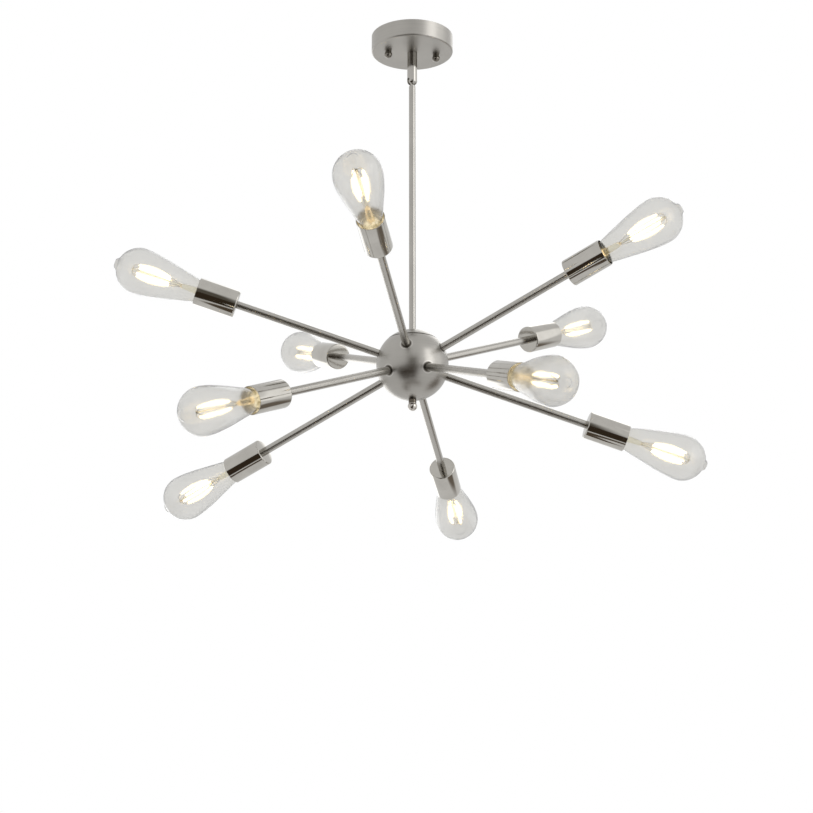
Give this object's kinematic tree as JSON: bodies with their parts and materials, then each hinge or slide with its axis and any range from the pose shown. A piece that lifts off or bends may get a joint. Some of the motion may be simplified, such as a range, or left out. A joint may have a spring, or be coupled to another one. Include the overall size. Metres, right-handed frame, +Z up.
{
  "type": "sputnik chandelier",
  "caption": "Ceiling chandelier with a canopy, a swivelling stem and a ball whose radiating arms each end in a metal cup with a clear teardrop filament bulb.",
  "frame": {"origin": "centre of the ceiling box screw pattern, on the ceiling plane at the top of the cross bar and of the canopy rim", "axes": "+Z up, +X along the cross bar through both canopy studs, the light hangs down along -Z"},
  "size_m": [0.8284, 0.7904, 0.6743],
  "materials": {
    "satin_nickel": "brushed satin nickel",
    "polished_nickel": "polished nickel",
    "zinc_steel": "bright zinc",
    "brass": "plain brass",
    "ceramic": "glazed cream ceramic",
    "base_metal": "bright rolled aluminium",
    "clear_glass": "clear blown glass",
    "filament": "warm white filament sticks on a clear glass stem"
  },
  "bodies": {
    "ceiling": {"mounting_bracket": "zinc_steel", "ground_screw": "zinc_steel", "canopy_studs": "zinc_steel", "canopy": "satin_nickel", "canopy_ball_nuts": "polished_nickel"},
    "swivel": {"swivel_cup": "satin_nickel", "swivel_nipple": "zinc_steel", "swivel_washer": "zinc_steel", "swivel_lock_nut": "zinc_steel"},
    "pendant": {"stem_knuckle": "polished_nickel", "stem_rod": "satin_nickel", "hub_spindle": "zinc_steel", "hub_shell": "satin_nickel", "hub_cap": "satin_nickel", "finial": "polished_nickel", "arm_nuts": "zinc_steel", "arm_1": "satin_nickel", "arm_2": "satin_nickel", "arm_3": "satin_nickel", "arm_4": "satin_nickel", "arm_5": "satin_nickel", "arm_6": "satin_nickel", "arm_7": "satin_nickel", "arm_8": "satin_nickel", "arm_9": "satin_nickel", "arm_10": "satin_nickel", "socket_cups": "polished_nickel", "lampholders": "ceramic", "socket_shells": "brass", "socket_contacts": "brass"},
    "bulb_screw_1": {"bulb_base_1": "base_metal"},
    "bulb_1": {"bulb_glass_1": "clear_glass", "bulb_filament_1": "filament"},
    "bulb_screw_2": {"bulb_base_2": "base_metal"},
    "bulb_2": {"bulb_glass_2": "clear_glass", "bulb_filament_2": "filament"},
    "bulb_screw_3": {"bulb_base_3": "base_metal"},
    "bulb_3": {"bulb_glass_3": "clear_glass", "bulb_filament_3": "filament"},
    "bulb_screw_4": {"bulb_base_4": "base_metal"},
    "bulb_4": {"bulb_glass_4": "clear_glass", "bulb_filament_4": "filament"},
    "bulb_screw_5": {"bulb_base_5": "base_metal"},
    "bulb_5": {"bulb_glass_5": "clear_glass", "bulb_filament_5": "filament"},
    "bulb_screw_6": {"bulb_base_6": "base_metal"},
    "bulb_6": {"bulb_glass_6": "clear_glass", "bulb_filament_6": "filament"},
    "bulb_screw_7": {"bulb_base_7": "base_metal"},
    "bulb_7": {"bulb_glass_7": "clear_glass", "bulb_filament_7": "filament"},
    "bulb_screw_8": {"bulb_base_8": "base_metal"},
    "bulb_8": {"bulb_glass_8": "clear_glass", "bulb_filament_8": "filament"},
    "bulb_screw_9": {"bulb_base_9": "base_metal"},
    "bulb_9": {"bulb_glass_9": "clear_glass", "bulb_filament_9": "filament"},
    "bulb_screw_10": {"bulb_base_10": "base_metal"},
    "bulb_10": {"bulb_glass_10": "clear_glass", "bulb_filament_10": "filament"}
  },
  "joints": [
    {"name": "swivel_turn", "type": "hinge", "parent": "ceiling", "child": "swivel", "pos_m": [0, 0, -0.025], "axis": [0, 0, 1], "range_deg": [-170, 170]},
    {"name": "stem_tilt", "type": "hinge", "parent": "swivel", "child": "pendant", "pos_m": [0, 0, -0.069], "axis": [-0.342, 0.9397, 0], "range_deg": [0, 40]},
    {"name": "bulb_feed_1", "type": "slide", "parent": "pendant", "child": "bulb_screw_1", "axis": [0.7693, 0.5282, 0.3594], "range_m": [0, 0.02]},
    {"name": "bulb_turn_1", "type": "hinge", "parent": "bulb_screw_1", "child": "bulb_1", "pos_m": [0.26926, 0.18486, -0.3712], "axis": [0.7693, 0.5282, 0.3594], "range_deg": [0, 1980]},
    {"name": "bulb_feed_2", "type": "slide", "parent": "pendant", "child": "bulb_screw_2", "axis": [-0.7693, -0.5282, -0.3594], "range_m": [0, 0.02]},
    {"name": "bulb_turn_2", "type": "hinge", "parent": "bulb_screw_2", "child": "bulb_2", "pos_m": [-0.26926, -0.18486, -0.6228], "axis": [-0.7693, -0.5282, -0.3594], "range_deg": [0, 1980]},
    {"name": "bulb_feed_3", "type": "slide", "parent": "pendant", "child": "bulb_screw_3", "axis": [-0.2705, 0.9089, 0.3175], "range_m": [0, 0.02]},
    {"name": "bulb_turn_3", "type": "hinge", "parent": "bulb_screw_3", "child": "bulb_3", "pos_m": [-0.09469, 0.3181, -0.38589], "axis": [-0.2705, 0.9089, 0.3175], "range_deg": [0, 1980]},
    {"name": "bulb_feed_4", "type": "slide", "parent": "pendant", "child": "bulb_screw_4", "axis": [0.2705, -0.9089, -0.3175], "range_m": [0, 0.02]},
    {"name": "bulb_turn_4", "type": "hinge", "parent": "bulb_screw_4", "child": "bulb_4", "pos_m": [0.09469, -0.3181, -0.60811], "axis": [0.2705, -0.9089, -0.3175], "range_deg": [0, 1980]},
    {"name": "bulb_feed_5", "type": "slide", "parent": "pendant", "child": "bulb_screw_5", "axis": [-0.9539, 0.0368, 0.2978], "range_m": [0, 0.02]},
    {"name": "bulb_turn_5", "type": "hinge", "parent": "bulb_screw_5", "child": "bulb_5", "pos_m": [-0.33388, 0.01286, -0.39278], "axis": [-0.9539, 0.0368, 0.2978], "range_deg": [0, 1980]},
    {"name": "bulb_feed_6", "type": "slide", "parent": "pendant", "child": "bulb_screw_6", "axis": [0.9539, -0.0368, -0.2978], "range_m": [0, 0.02]},
    {"name": "bulb_turn_6", "type": "hinge", "parent": "bulb_screw_6", "child": "bulb_6", "pos_m": [0.33388, -0.01286, -0.60122], "axis": [0.9539, -0.0368, -0.2978], "range_deg": [0, 1980]},
    {"name": "bulb_feed_7", "type": "slide", "parent": "pendant", "child": "bulb_screw_7", "axis": [-0.3364, -0.8829, 0.3275], "range_m": [0, 0.02]},
    {"name": "bulb_turn_7", "type": "hinge", "parent": "bulb_screw_7", "child": "bulb_7", "pos_m": [-0.11775, -0.30902, -0.38237], "axis": [-0.3364, -0.8829, 0.3275], "range_deg": [0, 1980]},
    {"name": "bulb_feed_8", "type": "slide", "parent": "pendant", "child": "bulb_screw_8", "axis": [0.3364, 0.8829, -0.3275], "range_m": [0, 0.02]},
    {"name": "bulb_turn_8", "type": "hinge", "parent": "bulb_screw_8", "child": "bulb_8", "pos_m": [0.11775, 0.30902, -0.61163], "axis": [0.3364, 0.8829, -0.3275], "range_deg": [0, 1980]},
    {"name": "bulb_feed_9", "type": "slide", "parent": "pendant", "child": "bulb_screw_9", "axis": [0.7286, -0.5792, 0.3656], "range_m": [0, 0.02]},
    {"name": "bulb_turn_9", "type": "hinge", "parent": "bulb_screw_9", "child": "bulb_9", "pos_m": [0.25501, -0.20272, -0.36903], "axis": [0.7286, -0.5792, 0.3656], "range_deg": [0, 1980]},
    {"name": "bulb_feed_10", "type": "slide", "parent": "pendant", "child": "bulb_screw_10", "axis": [-0.7286, 0.5792, -0.3656], "range_m": [0, 0.02]},
    {"name": "bulb_turn_10", "type": "hinge", "parent": "bulb_screw_10", "child": "bulb_10", "pos_m": [-0.25501, 0.20272, -0.62497], "axis": [-0.7286, 0.5792, -0.3656], "range_deg": [0, 1980]}
  ],
  "couplings": [
    {"joint": "bulb_feed_1", "follows": "bulb_turn_1", "m_per_rad": 0.0005775},
    {"joint": "bulb_feed_2", "follows": "bulb_turn_2", "m_per_rad": 0.0005775},
    {"joint": "bulb_feed_3", "follows": "bulb_turn_3", "m_per_rad": 0.0005775},
    {"joint": "bulb_feed_4", "follows": "bulb_turn_4", "m_per_rad": 0.0005775},
    {"joint": "bulb_feed_5", "follows": "bulb_turn_5", "m_per_rad": 0.0005775},
    {"joint": "bulb_feed_6", "follows": "bulb_turn_6", "m_per_rad": 0.0005775},
    {"joint": "bulb_feed_7", "follows": "bulb_turn_7", "m_per_rad": 0.0005775},
    {"joint": "bulb_feed_8", "follows": "bulb_turn_8", "m_per_rad": 0.0005775},
    {"joint": "bulb_feed_9", "follows": "bulb_turn_9", "m_per_rad": 0.0005775},
    {"joint": "bulb_feed_10", "follows": "bulb_turn_10", "m_per_rad": 0.0005775}
  ]
}
